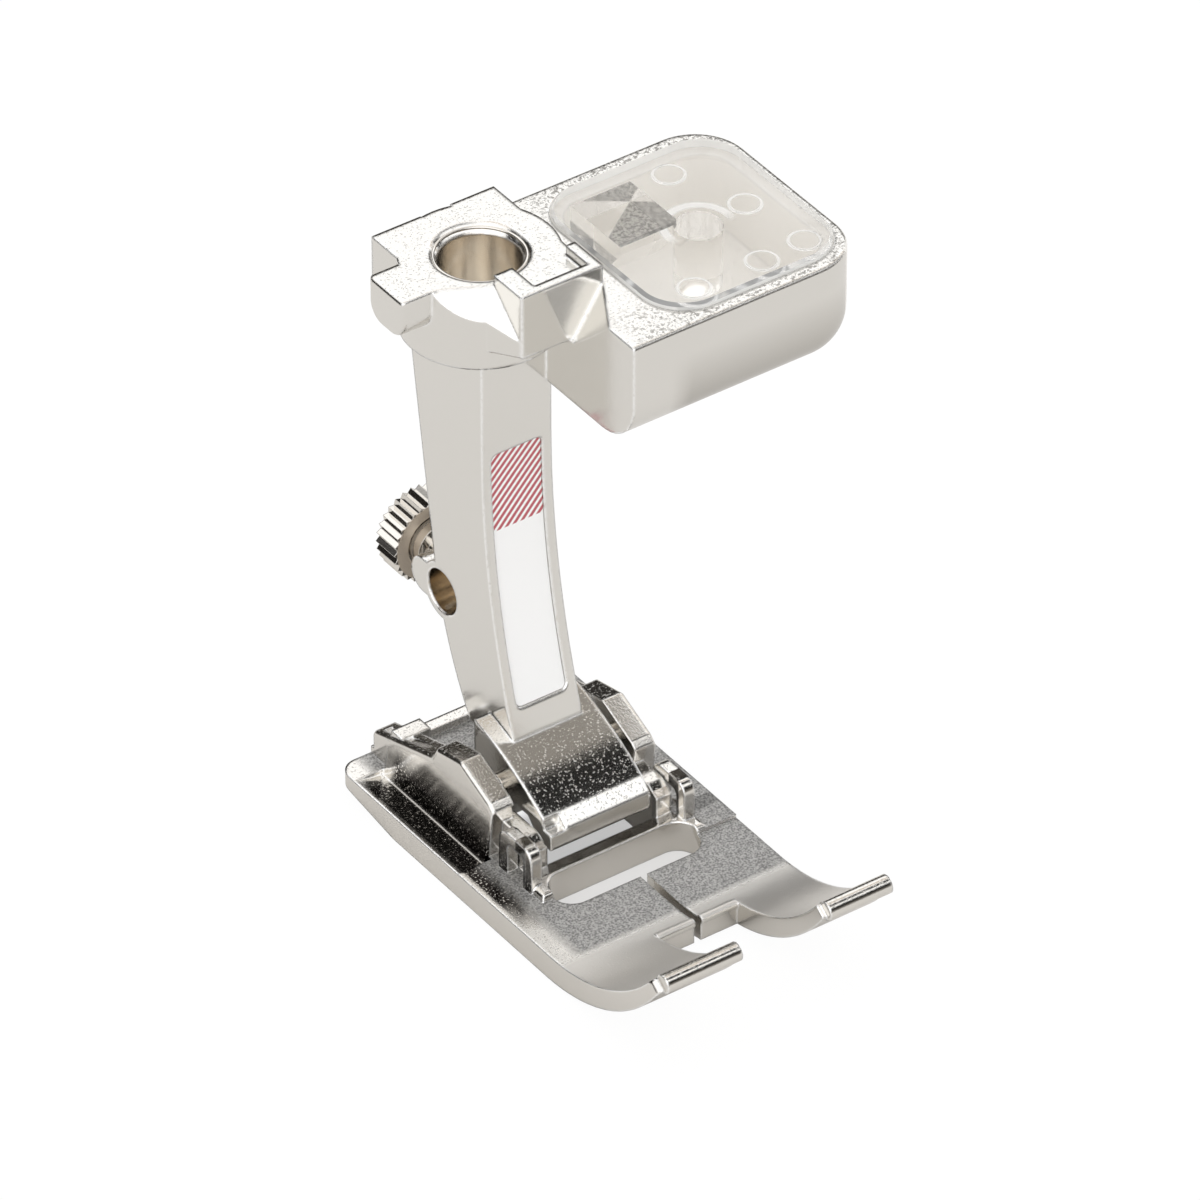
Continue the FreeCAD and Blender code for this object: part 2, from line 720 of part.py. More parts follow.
# Shank: one casting with head, lens housing, stem, guide-rod lug and foot block
def build_shank():
    body = new_body("shank")
    half = S["stem_width"] / 2
    head_top = S["head_top"]

    # lens housing
    front, back = -S["housing_front_ahead"], S["housing_behind"]
    high = head_top - S["housing_drop"]
    low = high - S["housing_height"]
    corner = S["housing_corner_radius"]
    housing = prism(body, "housing", "XY", low, high - low, [
        (S["housing_left"], front),
        (S["housing_right"] - corner, front),
        Bend(S["housing_right"], front + corner, corner, 1),
        (S["housing_right"], back - corner),
        Bend(S["housing_right"] - corner, back, corner, 1),
        (S["housing_left"], back),
    ])

    # its bottom is rounded up to the outer walls
    def at_bottom(edge):
        middle = middle_of(edge)
        inside = middle.x > S["housing_left"].value + 1e-3
        return near(middle.z, low.value) and inside and edge.BoundBox.ZLength < 1e-6

    def at_top(edge):
        middle = middle_of(edge)
        inside = middle.x > S["housing_left"].value + 1e-3
        return near(middle.z, high.value) and inside and edge.BoundBox.ZLength < 1e-6

    bowl = round_edges(body, "housing_bottom_edge", housing, S["housing_bottom_round"], at_bottom)
    round_edges(body, "housing_top_edge", bowl, S["housing_top_round"], at_top)

    # stem, from the foot block up into the collar
    collar_low = head_top - S["collar_drop"]
    stem_top = collar_low + S["stem_into_collar"]
    foot_y = stem_front(S["stem_foot_height"], ZERO)
    prism(body, "stem", "YZ", -half, S["stem_width"], [
        (foot_y, S["stem_back_foot_height"]),
        (-S["stem_back_foot_ahead"], S["stem_back_foot_height"]),
        Bend(S["stem_back_bend_behind"], S["stem_back_bend_height"], S["stem_back_radius"], 1),
        (S["stem_back_top_behind"], S["stem_back_top_height"]),
        (S["stem_back_top_behind"] + S["stem_back_flare"], stem_top),
        (-S["stem_front_ahead"], stem_top),
        (-S["stem_front_ahead"], S["stem_curve_top"]),
        Bend(foot_y, S["stem_foot_height"], S["stem_front_radius"], -1),
    ])

    # shallow recess for the label
    depth = S["label_recess_depth"]
    recess = prism(body, "label_recess", "YZ", -S["label_width"] / 2, S["label_width"],
                   stem_layer(S["label_bottom"], S["label_top"], depth, -depth), cut=True)
    round_edges(body, "label_recess_corners", recess, S["label_corner_radius"],
                lambda e: is_label_corner(e, S["label_width"].value, depth.value))

    # guide-rod lug on the stem's back
    lug_low = S["guide_hole_height"] - S["lug_height"] / 2
    lug_high = S["guide_hole_height"] + S["lug_height"] / 2
    lug_tip = S["lug_end_behind"]
    ring = S["guide_hole_radius"] + S["lug_wall"]
    prism(body, "guide_lug", "YZ", -half, S["stem_width"], [
        (-S["guide_hole_behind"], lug_low),
        (lug_tip - S["lug_height"] / 2, lug_low),
        Bend(lug_tip, S["guide_hole_height"], S["lug_height"] / 2, 1),
        Bend(lug_tip - S["lug_height"] / 2, lug_high, S["lug_height"] / 2, 1),
        (-S["guide_hole_behind"], lug_high),
    ])
    disc(body, "guide_ring", "YZ", -half, S["stem_width"], S["guide_hole_behind"],
         S["guide_hole_height"], ring)

    # round collar under the head
    disc(body, "collar", "XY", collar_low, S["collar_drop"], ZERO, ZERO, S["collar_radius"])

    # head plate with its lugs
    plate_low = head_top - S["plate_depth"]
    plan = [
        (-S["plate_left"], -S["wing_half_length"]),
        (-S["block_left"], -S["block_back_edge_ahead"]),
        (S["plate_right"], -S["block_back_edge_ahead"]),
        (S["plate_right"], S["lug_back_behind"]),
        (S["back_notch_right"], S["lug_back_behind"]),
        (S["back_notch_right"], S["back_notch_behind"]),
        (-S["lug_a_right"], S["back_notch_behind"]),
        (-S["lug_a_right"], S["lug_back_behind"]),
        (-S["plate_left"], S["lug_back_behind"]),
    ]
    prism(body, "head_plate", "XY", plate_low, S["plate_depth"], plan)

    # fin between the wing and the front block, with a sloping top
    left, low_y = -S["plate_left"], -S["fin_ahead"]
    fin_back, fin_shift = -S["block_back_edge_ahead"], S["fin_ahead"] - S["block_back_edge_ahead"]
    block_low = head_top - S["head_block_drop"]
    prism(body, "fin", "XY", block_low, S["head_block_drop"], [
        (left, -S["wing_half_length"]),
        (-S["block_left"], low_y),
        (S["block_right"], low_y),
        (S["block_right"], ZERO),
        (left, ZERO),
    ])
    beyond = -S["collar_radius"] * 2

    def in_front_of_line(shift):
        return [
            (beyond, -S["wing_half_length"] - shift),
            (beyond, beyond),
            (-S["block_left"], beyond),
            (-S["block_left"], fin_back - shift),
            (left, -S["wing_half_length"] - shift),
        ]

    loft(body, "fin_slope", [
        (head_top - S["fin_drop"], in_front_of_line(fin_shift)),
        (head_top, in_front_of_line(ZERO)),
    ], True)

    # wing lug at the left, with a rounded underside
    wing = [
        (-S["wing_half_length"], head_top),
        (-S["wing_half_length"], plate_low + S["wing_round"]),
        Bend(-S["wing_half_length"] + S["wing_round"], plate_low, S["wing_round"], 1),
        (S["wing_half_length"] - S["wing_round"], plate_low),
        Bend(S["wing_half_length"], plate_low + S["wing_round"], S["wing_round"], 1),
        (S["wing_half_length"], head_top),
    ]
    prism(body, "wing", "YZ", -S["wing_left"],
          S["wing_left"] - S["plate_left"] + S["cut_clear"], wing)

    # front block with the raised fence
    fence_top = head_top + S["fence_height"]
    box(body, "front_block", -S["block_left"], S["block_right"], -S["block_face_ahead"],
        -S["block_back_edge_ahead"], block_low, fence_top)

    fenced = box(body, "fence_floor", -S["block_left"] + S["fence_left_wall"],
                 S["block_right"] - S["fence_wall"], -S["block_face_ahead"] + S["fence_wall"],
                 -S["block_back_edge_ahead"] + S["cut_run"], head_top, fence_top + S["cut_run"],
                 cut=True)
    round_edges(body, "wing_edges", fenced, S["wing_edge_radius"],
                lambda e: on_side(e, -S["wing_left"].value))

    # the housing's inner front corner slopes away from the front block
    face = -S["block_face_ahead"]
    facet_left = S["housing_left"] - S["cut_clear"]
    facet_slope = (S["facet_ahead"] - S["block_face_ahead"]) / (S["block_right"] - S["housing_left"])

    def facet_corner(right_end):
        return [
            (facet_left, face),
            (facet_left, face - facet_slope * (right_end - facet_left)),
            (right_end, face),
        ]

    loft(body, "corner_facet", [
        (block_low, facet_corner(S["housing_left"] + S["facet_bottom_width"])),
        (high + S["cut_clear"], facet_corner(S["block_right"])),
    ], True)

    # pocket for the lens, with a ledge that it sits on
    def lens_outline(grow):
        x0, x1 = S["lens_left"] - grow, S["lens_right"] + grow
        y0, y1 = -S["lens_front_ahead"] - grow, S["lens_behind"] + grow
        r = S["lens_corner_radius"] + grow
        return [
            (x0 + r, y0),
            (x1 - r, y0),
            Bend(x1, y0 + r, r, 1),
            (x1, y1 - r),
            Bend(x1 - r, y1, r, 1),
            (x0 + r, y1),
            Bend(x0, y1 - r, r, 1),
            (x0, y0 + r),
            Bend(x0 + r, y0, r, 1),
        ]

    seat = S["lens_plate"] - S["lens_proud"]
    prism(body, "lens_seat", "XY", high - seat, seat + S["cut_run"], lens_outline(S["lens_fit_gap"]),
          cut=True)
    prism(body, "lens_pocket", "XY", high - S["pocket_depth"], S["pocket_depth"] + S["cut_run"],
          lens_outline(-S["pocket_ledge"]), cut=True)

    # bore for the presser bar with its countersink
    bore = disc(body, "bar_bore", "XY", head_top - S["bore_depth"], S["bore_depth"] + S["cut_run"],
                ZERO, ZERO, S["bore_radius"], cut=True)

    def at_mouth(edge):
        level = near(edge.BoundBox.ZMin, head_top.value)
        return level and near(edge.BoundBox.XLength, S["bore_radius"].value * 2)

    bevel_edges(body, "bore_chamfer", bore, S["bore_chamfer_radius"] - S["bore_radius"],
                S["bore_chamfer_depth"], at_mouth)

    # foot block: a curved front that ends in a lip, and a boss round the hinge pin
    block_half = S["block_width"] / 2
    prism(body, "foot_block", "YZ", -block_half, S["block_width"], [
        (-S["block_back_ahead"], S["pin_height"]),
        (-S["block_back_ahead"], S["block_top"]),
        Bend(-S["block_front_ahead"], S["block_front_height"], S["block_curve_radius"], 1),
        (-S["lip_ahead"], S["lip_top"]),
        (-S["lip_ahead"], S["lip_bottom"]),
        (-S["lip_ahead"] + S["lip_thickness"], S["lip_bottom"]),
        (-S["lip_ahead"] + S["lip_thickness"] * 2, S["pin_height"]),
    ])
    disc(body, "hinge_boss", "YZ", -block_half, S["block_width"], -S["pin_ahead"], S["pin_height"],
         S["hinge_boss_radius"])
    box(body, "lip_notch", -block_half - S["cut_run"], -block_half + S["lip_notch_width"],
        -S["lip_ahead"] - S["cut_run"], -S["lip_ahead"] + S["lip_notch_depth"],
        S["lip_top"] - S["cut_clear"], S["block_top"], cut=True)

    # round slot for the spring on the pin, open below
    slot_half = spring_half_length() + S["spring_side_clearance"]
    slot_radius = S["spring_coil_radius"] + S["spring_wire_radius"] + S["spring_round_clearance"]
    disc(body, "spring_slot", "YZ", -slot_half, slot_half * 2, -S["pin_ahead"], S["pin_height"],
         slot_radius, cut=True)
    boss = S["hinge_boss_radius"]
    box(body, "spring_slot_mouth", -slot_half, slot_half, -S["pin_ahead"] - boss,
        -S["pin_ahead"] + boss, S["pin_height"] - boss, S["pin_height"], cut=True)
    disc(body, "spring_leg_hole", "XY", S["pin_height"] + S["spring_coil_radius"],
         S["spring_fixed_leg"] + S["spring_hole_clearance"], spring_start(), -S["pin_ahead"],
         S["spring_wire_radius"] + S["spring_hole_clearance"], cut=True)

    # holes: guide rod across the stem, screw thread into it, hinge pin
    past = S["cut_run"]
    disc(body, "guide_hole", "YZ", -half - past, S["stem_width"] + past * 2, S["guide_hole_behind"],
         S["guide_hole_height"], S["guide_hole_radius"], cut=True)
    disc(body, "screw_hole", "XZ", -S["lug_end_behind"] - past,
         S["lug_end_behind"] + past - S["guide_hole_behind"], ZERO, S["guide_hole_height"],
         S["screw_thread_radius"] + S["screw_thread_clearance"], cut=True)
    disc(body, "hinge_hole", "YZ", -block_half - past, S["block_width"] + past * 2, -S["pin_ahead"],
         S["pin_height"], S["pin_radius"] + S["pin_clearance"], cut=True)
    return body


# Clear lens: a plate with rounded corners over a prism block and a short stub
def build_lens():
    body = new_body("sensor_lens")
    top = S["head_top"] - S["housing_drop"] + S["lens_proud"]
    under = top - S["lens_plate"]
    x0, x1 = S["lens_left"], S["lens_right"]
    y0, y1 = -S["lens_front_ahead"], S["lens_behind"]
    r = S["lens_corner_radius"]
    plate = prism(body, "lens_plate_body", "XY", under, S["lens_plate"], [
        (x0 + r, y0),
        (x1 - r, y0),
        Bend(x1, y0 + r, r, 1),
        (x1, y1 - r),
        Bend(x1 - r, y1, r, 1),
        (x0 + r, y1),
        Bend(x0, y1 - r, r, 1),
        (x0, y0 + r),
        Bend(x0 + r, y0, r, 1),
    ])
    bevel_edges(body, "lens_top_edge", plate, S["lens_edge"], S["lens_edge"],
                lambda e: all(near(end.z, top.value) for end in ends_of(e)))

    # prism block with a sloping front, and a stub beside it
    prism(body, "prism_block", "YZ", S["prism_left"], S["prism_right"] - S["prism_left"], [
        (S["prism_behind"], under + S["cut_clear"]),
        (-S["prism_front_ahead"], under + S["cut_clear"]),
        (-S["prism_front_ahead"], under - S["prism_tip_depth"]),
        (S["prism_behind"] - S["prism_depth"], under - S["prism_depth"]),
        (S["prism_behind"], under - S["prism_depth"]),
    ])
    disc(body, "stub", "XY", under - S["stub_depth"], S["stub_depth"] + S["cut_clear"], S["stub_right"],
         -S["stub_ahead"], S["stub_radius"])
    for number, (right, ahead) in enumerate(LENS_MARKS, start=1):
        disc(body, f"ejector_mark_{number}", "XY", under - S["cut_run"], S["cut_run"] + S["mark_depth"],
             right, -ahead, S["mark_radius"], cut=True)
    return body


# Clamp screw: knurled head, shoulder and thread, turned in one piece
def build_screw():
    body = new_body("clamp_screw")
    z = S["guide_hole_height"]
    head = S["screw_head_behind"]
    thick = S["screw_head_thickness"]
    crest, root_radius = S["screw_head_radius"], S["screw_head_radius"] - S["screw_knurl_depth"]
    teeth = []
    for step in range(SCREW_TEETH * 2):
        turn = math.pi * step / SCREW_TEETH
        reach = root_radius if step % 2 else crest
        teeth.append((reach * math.cos(turn), z + reach * math.sin(turn)))
    prism(body, "screw_head", "XZ", -head - thick, thick, teeth)
    disc(body, "screw_recess", "XZ", -head - S["screw_recess_depth"],
         S["screw_recess_depth"] + S["cut_clear"], ZERO, z, S["screw_recess_radius"], cut=True)
    shoulder = head - S["lug_end_behind"] - S["lug_wall"]
    disc(body, "screw_shoulder", "XZ", -head - thick / 2, thick / 2 + shoulder, ZERO, z,
         S["screw_shoulder_radius"])
    tip = S["guide_hole_behind"] + S["guide_hole_radius"] + S["screw_tip_gap"]
    disc(body, "screw_thread", "XZ", -head, head - tip, ZERO, z, S["screw_thread_radius"])
    return body


# Label strip with round corners, curved like the recess that it lies in
def build_label():
    body = new_body("label")
    gap = S["label_margin"]
    low, high = S["label_bottom"], S["label_top"]
    x1 = S["label_width"] / 2 - gap
    z0, z1 = low + gap, high - gap
    r = S["label_corner_radius"] - gap
    back = -S["stem_front_ahead"] + S["label_recess_depth"] * 2
    front = stem_front(low, -S["label_recess_depth"])
    prism(body, "strip", "XZ", -back, back - front, [
        (-x1 + r, z0),
        (x1 - r, z0),
        Bend(x1, z0 + r, r, 1),
        (x1, z1 - r),
        Bend(x1 - r, z1, r, 1),
        (-x1 + r, z1),
        Bend(-x1, z1 - r, r, 1),
        (-x1, z0 + r),
        Bend(-x1 + r, z0, r, 1),
    ])
    inner = S["label_recess_depth"]
    outer = inner - S["label_thickness"]
    radius = S["stem_front_radius"]
    prism(body, "strip_front", "YZ", -S["label_width"], S["label_width"] * 2, [
        (stem_front(low, outer), low),
        Bend(stem_front(high, outer), high, radius + outer, 1),
        (front - gap, high),
        (front - gap, low),
    ], cut=True)
    prism(body, "strip_back", "YZ", -S["label_width"], S["label_width"] * 2, [
        (back + gap, low),
        (back + gap, high),
        (stem_front(high, inner), high),
        Bend(stem_front(low, inner), low, radius + inner, -1),
    ], cut=True)
    return body


def build_pin():
    body = new_body("hinge_pin")
    start = -S["ear_gap"] / 2 - S["ear_thickness"] + S["pin_blind_wall"]
    disc(body, "pin", "YZ", start, S["ear_gap"] + S["ear_thickness"] * 2 - S["pin_blind_wall"],
         -S["pin_ahead"], S["pin_height"], S["pin_radius"])
    return body


# Close-wound torsion spring on the pin: the upper leg sits in the block, the lower one is free
def spring_start():
    return -S["spring_pitch"] * (SPRING_TURNS - 1) / 2


def spring_half_length():
    return S["spring_wire_radius"] - spring_start()


def build_spring():
    body = new_body("hinge_spring")
    wire, coil, pitch = S["spring_wire_radius"], S["spring_coil_radius"], S["spring_pitch"]
    start = spring_start()
    y, z = -S["pin_ahead"], S["pin_height"]
    # the turns touch, so their section is a row of ridges with a groove between each two
    level, rise = z + coil, wire
    groove = wire / 2
    lower, upper = [], []
    for number in range(SPRING_TURNS):
        turn = start + pitch * number
        for chain, side in ((lower, -1), (upper, 1)):
            chain.append((turn, level + rise * side))
            if number < SPRING_TURNS - 1:
                chain.append((turn + pitch / 2, level + groove * side))
    row = [(start - wire, level), *lower, (-start + wire, level), *reversed(upper)]
    profile = new_sketch(body, "turns_section", "XZ", S["pin_ahead"])
    draw_outline(profile, row)
    axis = new_sketch(body, "turns_axis", "XY", S["pin_height"])
    axis.addGeometry(Part.LineSegment(V(start.value, y.value, 0), V(-start.value, y.value, 0)), False)
    bind_point(axis, 0, 1, start, y)
    bind_point(axis, 0, 2, -start, y)
    doc.recompute()
    turns = body.newObject("PartDesign::Revolution", "turns")
    turns.Profile = profile
    turns.ReferenceAxis = (axis, ["Edge1"])
    turns.Angle = 360.0
    profile.Visibility = False
    axis.Visibility = False
    doc.recompute()
    disc(body, "fixed_leg", "XY", z + coil, S["spring_fixed_leg"], start, y, wire)
    drop = S["spring_free_leg_drop"]
    root_y = y + root(coil * coil - drop * drop)
    disc(body, "free_leg", "XZ", -root_y - S["spring_free_leg"], S["spring_free_leg"], -start,
         z - drop, wire)
    return body


pieces = [
    build_sole(),
    build_shank(),
    build_lens(),
    build_label(),
    build_screw(),
    build_pin(),
    build_spring(),
]

doc.recompute()
for item in doc.Objects:
    if "Invalid" in item.State or "Error" in item.State:
        raise RuntimeError(f"{item.Name} failed: {item.State}")
os.makedirs("parts", exist_ok=True)
for piece in pieces:
    if piece.Shape.isNull() or not piece.Shape.isValid():
        raise RuntimeError(f"{piece.Label} has no valid shape")
for piece in pieces:
    piece.Shape.exportStep(f"parts/{piece.Label}.step")
    print(f"{piece.Label}: {len(piece.Shape.Solids)} solid, {piece.Shape.Volume:.2f} mm3")
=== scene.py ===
# %% [markdown]
# # A presser foot for a sewing machine, dressed for its picture
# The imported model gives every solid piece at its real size. This lesson adds what makes them look
# real: nickel plating, a blasted sole, a clear moulded lens, a printed label and the small marks
# that tools leave. The toes point towards -Y and the lens housing lies at +X. Blender works in
# metres, so a length in millimetres is multiplied by MM.

# %% Load the frame
import math

import bpy
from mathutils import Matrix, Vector


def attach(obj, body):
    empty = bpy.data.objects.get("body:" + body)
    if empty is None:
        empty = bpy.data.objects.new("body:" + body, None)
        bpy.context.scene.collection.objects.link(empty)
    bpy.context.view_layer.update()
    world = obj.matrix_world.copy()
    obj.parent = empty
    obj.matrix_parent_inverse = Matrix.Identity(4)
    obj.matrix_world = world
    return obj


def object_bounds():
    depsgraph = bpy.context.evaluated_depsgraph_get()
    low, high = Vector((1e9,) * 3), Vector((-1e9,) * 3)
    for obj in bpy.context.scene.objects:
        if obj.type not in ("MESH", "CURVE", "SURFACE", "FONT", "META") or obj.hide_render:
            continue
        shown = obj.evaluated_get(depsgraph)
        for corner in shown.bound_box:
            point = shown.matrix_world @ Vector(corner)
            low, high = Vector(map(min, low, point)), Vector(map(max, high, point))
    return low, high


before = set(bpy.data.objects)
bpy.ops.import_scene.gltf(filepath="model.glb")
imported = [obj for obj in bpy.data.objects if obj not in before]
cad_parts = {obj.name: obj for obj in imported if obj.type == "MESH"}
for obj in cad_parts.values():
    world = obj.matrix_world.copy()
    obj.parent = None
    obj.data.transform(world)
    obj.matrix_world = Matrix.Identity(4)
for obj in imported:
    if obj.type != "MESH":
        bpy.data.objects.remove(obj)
cad_low, cad_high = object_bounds()
MM = 0.001
print("pieces in the frame:", sorted(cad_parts))

# %% [markdown]
# The camera stands far away with a long lens, as a product photographer does, so that the foot's
# edges stay nearly parallel. It looks down from the front left at the middle of the foot.

# %% Camera
IMAGE_SIDE = 1200
FOCAL_PIXELS = 12455
SENSOR_WIDTH = 36.0
CAMERA_DISTANCE = 750 * MM
CLIP_START, CLIP_END = 0.01, 10
AZIMUTH, ELEVATION = math.radians(-35.34), math.radians(37.5)
TARGET = Vector((2.012, -9.553, 18.0)) * MM

back = Vector((
    math.sin(AZIMUTH) * math.cos(ELEVATION),
    -math.cos(AZIMUTH) * math.cos(ELEVATION),
    math.sin(ELEVATION),
))
camera_data = bpy.data.cameras.new("camera")
camera_data.sensor_width = SENSOR_WIDTH
camera_data.lens = FOCAL_PIXELS / IMAGE_SIDE * SENSOR_WIDTH
camera_data.clip_start = CLIP_START
camera_data.clip_end = CLIP_END
camera = bpy.data.objects.new("camera", camera_data)
bpy.context.scene.collection.objects.link(camera)
camera.location = TARGET + back * CAMERA_DISTANCE
camera.rotation_mode = "QUATERNION"
camera.rotation_quaternion = (-back).to_track_quat("-Z", "Y")
bpy.context.scene.camera = camera
print("focal length in mm:", round(camera_data.lens, 1))

# %% [markdown]
# Every material below is a small graph of nodes. These helpers add a node and fill its sockets,
# turn an sRGB hex colour into the linear values that Blender works with, and start a material.


# %% Helpers for graphs
def feed(tree, node, sockets):
    """Fills or links the named sockets of a node."""
    for name, value in sockets.items():
        socket = node.inputs[name]
        if isinstance(value, bpy.types.NodeSocket):
            tree.links.new(value, socket)
        else:
            socket.default_value = value


def add(tree, kind, sockets=None, **settings):
    """Adds a node, sets its options, and fills or links its sockets."""
    made = tree.nodes.new(kind)
    for name, value in settings.items():
        setattr(made, name, value)
    feed(tree, made, sockets or {})
    return made


def linear(hex_colour):
    """Linear RGBA from an sRGB colour written as RRGGBB."""
    channels = [int(hex_colour[i:i + 2], 16) / 255 for i in (0, 2, 4)]
    lit = [c / 12.92 if c <= 0.04045 else ((c + 0.055) / 1.055) ** 2.4 for c in channels]
    return (*lit, 1.0)


def new_material(name):
    """A material with an empty graph, and its output node."""
    material = bpy.data.materials.new(name)
    material.use_nodes = True
    material.node_tree.nodes.clear()
    output = add(material.node_tree, "ShaderNodeOutputMaterial")
    return material, material.node_tree, output


def blend(tree, share, a, b):
    """One colour passing into another."""
    return add(tree, "ShaderNodeMix", {0: share, 6: a, 7: b}, data_type="RGBA").outputs[2]


def mix_shaders(tree, share, a, b):
    """One surface passing into another."""
    return add(tree, "ShaderNodeMixShader", {0: share, 1: a, 2: b}).outputs[0]


def grain(tree, place, size, detail=1.0):
    """A fine noise whose grains are about the given size."""
    return add(tree, "ShaderNodeTexNoise", {
        "Vector": place, "Scale": 1 / size, "Detail": detail, "Roughness": 0.6,
    }).outputs["Fac"]


# %% [markdown]
# A mask is one where a finish shows and nought elsewhere. It grows from where a point lies on its
# piece and from the way its face looks. Multiplied masks show only where all of them do. In the
# cells below, a named pair such as HEAD_Z says where a mask is nought and where it is full. Places
# on a piece are in mm.


# %% Helpers for masks
def on_piece(tree):
    """Where a point lies on its own piece, as a vector and as its X, Y and Z."""
    place = add(tree, "ShaderNodeTexCoord").outputs["Object"]
    parts = add(tree, "ShaderNodeSeparateXYZ", {"Vector": place}).outputs
    return place, parts["X"], parts["Y"], parts["Z"]


def looking_up(tree, normal="True Normal"):
    """One on faces that look up, nought on walls and minus one on faces that look down."""
    geometry = add(tree, "ShaderNodeNewGeometry")
    return add(tree, "ShaderNodeSeparateXYZ", {"Vector": geometry.outputs[normal]}).outputs["Z"]


def maths(tree, operation, a, b=0.0):
    """One step of arithmetic."""
    return add(tree, "ShaderNodeMath", {0: a, 1: b}, operation=operation).outputs[0]


def product(tree, result, *others):
    """All the given masks multiplied."""
    for other in others:
        result = maths(tree, "MULTIPLY", result, other)
    return result


def ramped(tree, value, low, high, at_low=0.0, at_high=1.0, **settings):
    """A value mapped from one range to another and held at its ends."""
    return add(tree, "ShaderNodeMapRange", {
        "Value": value, "From Min": low, "From Max": high, "To Min": at_low, "To Max": at_high,
    }, **settings).outputs["Result"]


def fade(tree, length, nought_at, full_at, full=1.0):
    """A mask that grows from nought while a length goes from one value in mm to another."""
    return ramped(tree, length, nought_at * MM, full_at * MM, 0.0, full)


def past(tree, length, limit):
    """A mask that starts sharply past a length in mm."""
    return maths(tree, "GREATER_THAN", length, limit * MM)


def within(tree, length, limit):
    """A mask that ends sharply at a length in mm."""
    return maths(tree, "LESS_THAN", length, limit * MM)


def reach(tree, across, along, centre=(0.0, 0.0)):
    """The distance from a line seen end on, whose place is given in mm."""
    flat = add(tree, "ShaderNodeCombineXYZ", {"X": across, "Y": along})
    return add(tree, "ShaderNodeVectorMath", {
        0: flat.outputs[0], 1: (centre[0] * MM, centre[1] * MM, 0.0),
    }, operation="DISTANCE").outputs["Value"]


# %% [markdown]
# Plated metal looks like metal only when it has something to mirror. The studio is a dark room with
# two long white panels overhead, one behind the foot and one in front of it, and a warm gap between
# them. A colour ramp runs over the sky from the horizon behind the foot (0) across the zenith (0.5)
# to the horizon in front (1). The camera itself sees plain white.

# %% World
SKY_STOPS = [
    (0.00, "4A4641"), (0.10, "1B1917"), (0.180, "1A1816"), (0.205, "F8F8F8"), (0.345, "FFFFFF"),
    (0.385, "B5A899"), (0.435, "B5A899"), (0.460, "FFFFFF"), (0.500, "FFFFFF"), (0.525, "11100F"),
    (0.630, "11100F"), (0.670, "FFFFFF"), (0.730, "FFFFFF"), (0.760, "191817"), (0.880, "1E1C1A"),
    (1.00, "77736D"),
]
ROOM_DARK, TABLE_PALE, PLAIN_WHITE = "1C1A18", "D8D6D3", "FFFFFF"
SIDE_PANEL_AIM = (-0.62, -0.46, 0.63)
SIDE_PANEL_DEGREES = (50, 38)
LEFT_END = (-0.6, -0.42)
DULL_POWER, MIRRORED_POWER = 1.12, 1.4

world = bpy.data.worlds.new("studio")
bpy.context.scene.world = world
world.use_nodes = True
room = world.node_tree
room.nodes.clear()
direction = add(room, "ShaderNodeTexCoord").outputs["Generated"]
aim = add(room, "ShaderNodeSeparateXYZ", {"Vector": direction}).outputs
swing = maths(room, "DIVIDE", maths(room, "ARCTAN2", aim["Z"], aim["Y"]), math.pi)
panels = add(room, "ShaderNodeValToRGB", {"Fac": swing})
ramp = panels.color_ramp
while len(ramp.elements) < len(SKY_STOPS):
    ramp.elements.new(1.0)
for element, (position, colour) in zip(ramp.elements, SKY_STOPS):
    element.position = position
    element.color = linear(colour)

# the overhead panels end at the left
left_end = ramped(room, aim["X"], *LEFT_END, interpolation_type="SMOOTHSTEP")
overhead = blend(room, left_end, linear(ROOM_DARK), panels.outputs["Color"])
# a third panel stands beside the camera, at its left
beside_aim = add(room, "ShaderNodeVectorMath", {
    0: direction, 1: Vector(SIDE_PANEL_AIM).normalized(),
}, operation="DOT_PRODUCT").outputs["Value"]
side_panel = ramped(room, beside_aim, *[math.cos(math.radians(d)) for d in SIDE_PANEL_DEGREES],
                    interpolation_type="SMOOTHSTEP")
walls = blend(room, side_panel, overhead, linear(PLAIN_WHITE))
# below the horizon the room goes on as a pale table
above = maths(room, "GREATER_THAN", aim["Z"], 0.0)
surroundings = blend(room, above, linear(TABLE_PALE), walls)
# mirrors see the room, while the camera, dull surfaces and a look through the lens find white
mirrored = add(room, "ShaderNodeLightPath").outputs["Is Glossy Ray"]
sky = add(room, "ShaderNodeBackground", {
    "Color": blend(room, mirrored, linear(PLAIN_WHITE), surroundings),
    "Strength": ramped(room, mirrored, 0.0, 1.0, DULL_POWER, MIRRORED_POWER),
})
add(room, "ShaderNodeOutputWorld", {"Surface": sky.outputs["Background"]})

# %% [markdown]
# A pale floor carries the foot. It is shown to the camera nearly white, and keeps only a breath of
# the contact shadow. What shows through the openings of the sole is left in its real shade.

# %% Floor
FLOOR_SIDE, FLOOR_PALE = 1.2, "DCDAD7"
FLOOR_WHITE_STRENGTH = 1.03
OPENINGS_MIDDLE, OPENINGS_EDGE = (0.0, -12), (6.2, 7.2)
WHITE_IN_OPENINGS, WHITE_OUTSIDE = 0.45, 0.93

